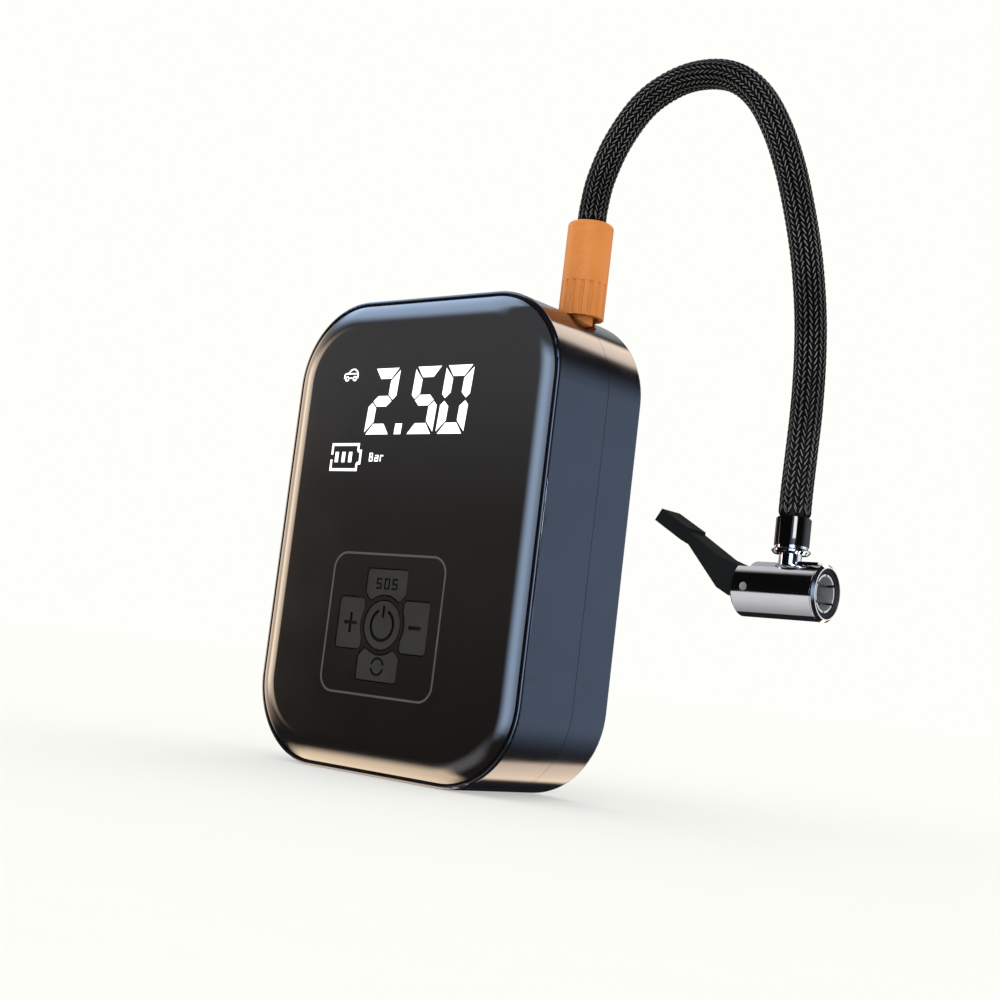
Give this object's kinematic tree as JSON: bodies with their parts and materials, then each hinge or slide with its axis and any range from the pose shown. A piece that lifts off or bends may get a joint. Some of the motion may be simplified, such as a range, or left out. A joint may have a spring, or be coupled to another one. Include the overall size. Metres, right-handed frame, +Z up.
{
  "type": "portable tyre inflator",
  "caption": "Slim handheld tyre inflator with a glossy display front, a key pad, and a braided air hose that arches from an orange collar to a chrome clip-on chuck.",
  "frame": {"origin": "middle of the body's base, on the surface it stands on", "axes": "+Z up along the body, -Y out of the display, +X towards the hose and along the chuck's mouth"},
  "size_m": [0.1631, 0.04, 0.195],
  "materials": {
    "shell": "dark slate blue, satin gloss",
    "front_gloss": "near-black, high gloss",
    "display_light": "lit white",
    "panel_line": "printed grey line",
    "key_grey": "fine matt",
    "gasket_rubber": "matt",
    "module_black": "matt",
    "circuit_board": "solder mask",
    "screw_steel": "blackened",
    "switch_metal": "satin",
    "lamp_clear": "frosted",
    "led_yellow": "phosphor",
    "socket_steel": "satin",
    "cell_wrap": "blue film over metal cells",
    "nickel": "plain",
    "bracket_steel": "zinc plated",
    "motor_steel": "zinc plated",
    "gear_steel": "hobbed",
    "pump_aluminium": "die cast",
    "brass": "turned",
    "chrome_trim": "bright",
    "collar_orange": "soft satin",
    "hose_braid": "black braid with pale flecks",
    "ferrule_black": "gloss",
    "lever_black": "satin"
  },
  "bodies": {
    "inflator": {"main_housing": "shell", "rear_cover": "shell", "screws": "screw_steel", "front_gasket": "gasket_rubber", "front_plate": "front_gloss", "display_digits": "display_light", "display_icons": "display_light", "panel_outline": "panel_line", "display_module": "module_black", "front_board": "circuit_board", "key_switches": "switch_metal", "lamp_lens": "lamp_clear", "lamp_reflector": "chrome_trim", "lamp_led": "led_yellow", "usb_socket": "socket_steel", "usb_board": "circuit_board", "battery_cells": "cell_wrap", "battery_holder": "module_black", "battery_tabs": "nickel", "control_board": "circuit_board", "board_parts": "module_black", "chassis": "bracket_steel", "crank_bearing": "brass", "motor_can": "motor_steel", "motor_endcap": "module_black", "motor_terminals": "brass", "pump_cylinder": "pump_aluminium", "cylinder_head": "pump_aluminium", "pressure_sensor": "module_black", "air_tube": "brass", "outlet_nipple": "collar_orange", "outlet_oring": "gasket_rubber"},
    "hose_set": {"hose_collar": "collar_orange", "hose_insert": "brass", "hose_tube": "hose_braid", "hose_ferrule": "ferrule_black", "ferrule_ring": "chrome_trim", "chuck_neck": "chrome_trim", "chuck_body": "chrome_trim", "chuck_nose_ring": "chrome_trim", "chuck_seal": "gasket_rubber", "chuck_tab": "chrome_trim", "depressor_pin": "brass", "lever_pin": "socket_steel", "jaw_spring": "socket_steel"},
    "lever": {"lever": "lever_black", "lever_grip": "lever_black"},
    "jaws": {"jaw_sleeve": "socket_steel"},
    "rotor": {"rotor_shaft": "motor_steel", "pinion": "brass"},
    "crank": {"crank_gear": "gear_steel", "crank_pins": "gear_steel"},
    "piston": {"piston": "pump_aluminium", "piston_seal": "gasket_rubber", "connecting_rod": "pump_aluminium"},
    "key_power": {"key_power": "key_grey"},
    "key_plus": {"key_plus": "key_grey"},
    "key_minus": {"key_minus": "key_grey"},
    "key_sos": {"key_sos": "key_grey"},
    "key_mode": {"key_mode": "key_grey"}
  },
  "joints": [
    {"name": "hose_swivel", "type": "hinge", "parent": "inflator", "child": "hose_set", "pos_m": [0.0342, 0.006, 0.1276], "axis": [0, 0, 1], "range_deg": [-75, 75]},
    {"name": "lever_press", "type": "hinge", "parent": "hose_set", "child": "lever", "pos_m": [0.09695, 0.006, 0.0578], "axis": [0, -1, 0], "range_deg": [0, 28], "stiffness_Nm_per_rad": 0.2, "springref_deg": -5.73},
    {"name": "jaw_slide", "type": "slide", "parent": "hose_set", "child": "jaws", "axis": [-1, 0, 0], "range_m": [0, 0.0015], "deforming": ["jaw_spring"]},
    {"name": "crank_spin", "type": "hinge", "parent": "inflator", "child": "crank", "pos_m": [0.023, 0.003, 0.0329], "axis": [1, 0, 0], "continuous": true},
    {"name": "rotor_spin", "type": "hinge", "parent": "inflator", "child": "rotor", "pos_m": [0.023, 0.003, 0.016], "axis": [1, 0, 0], "continuous": true},
    {"name": "piston_slide", "type": "slide", "parent": "inflator", "child": "piston", "axis": [0, 0, 1], "range_m": [-0.012, 0]},
    {"name": "power_press", "type": "slide", "parent": "inflator", "child": "key_power", "axis": [0, 1, 0], "range_m": [0, 0.0006], "stiffness_N_per_m": 1000},
    {"name": "plus_press", "type": "slide", "parent": "inflator", "child": "key_plus", "axis": [0, 1, 0], "range_m": [0, 0.0006], "stiffness_N_per_m": 1000},
    {"name": "minus_press", "type": "slide", "parent": "inflator", "child": "key_minus", "axis": [0, 1, 0], "range_m": [0, 0.0006], "stiffness_N_per_m": 1000},
    {"name": "sos_press", "type": "slide", "parent": "inflator", "child": "key_sos", "axis": [0, 1, 0], "range_m": [0, 0.0006], "stiffness_N_per_m": 1000},
    {"name": "mode_press", "type": "slide", "parent": "inflator", "child": "key_mode", "axis": [0, 1, 0], "range_m": [0, 0.0006], "stiffness_N_per_m": 1000}
  ],
  "couplings": [
    {"joint": "jaw_slide", "follows": "lever_press", "m_per_rad": 0.003},
    {"joint": "rotor_spin", "follows": "crank_spin", "ratio": -3}
  ]
}
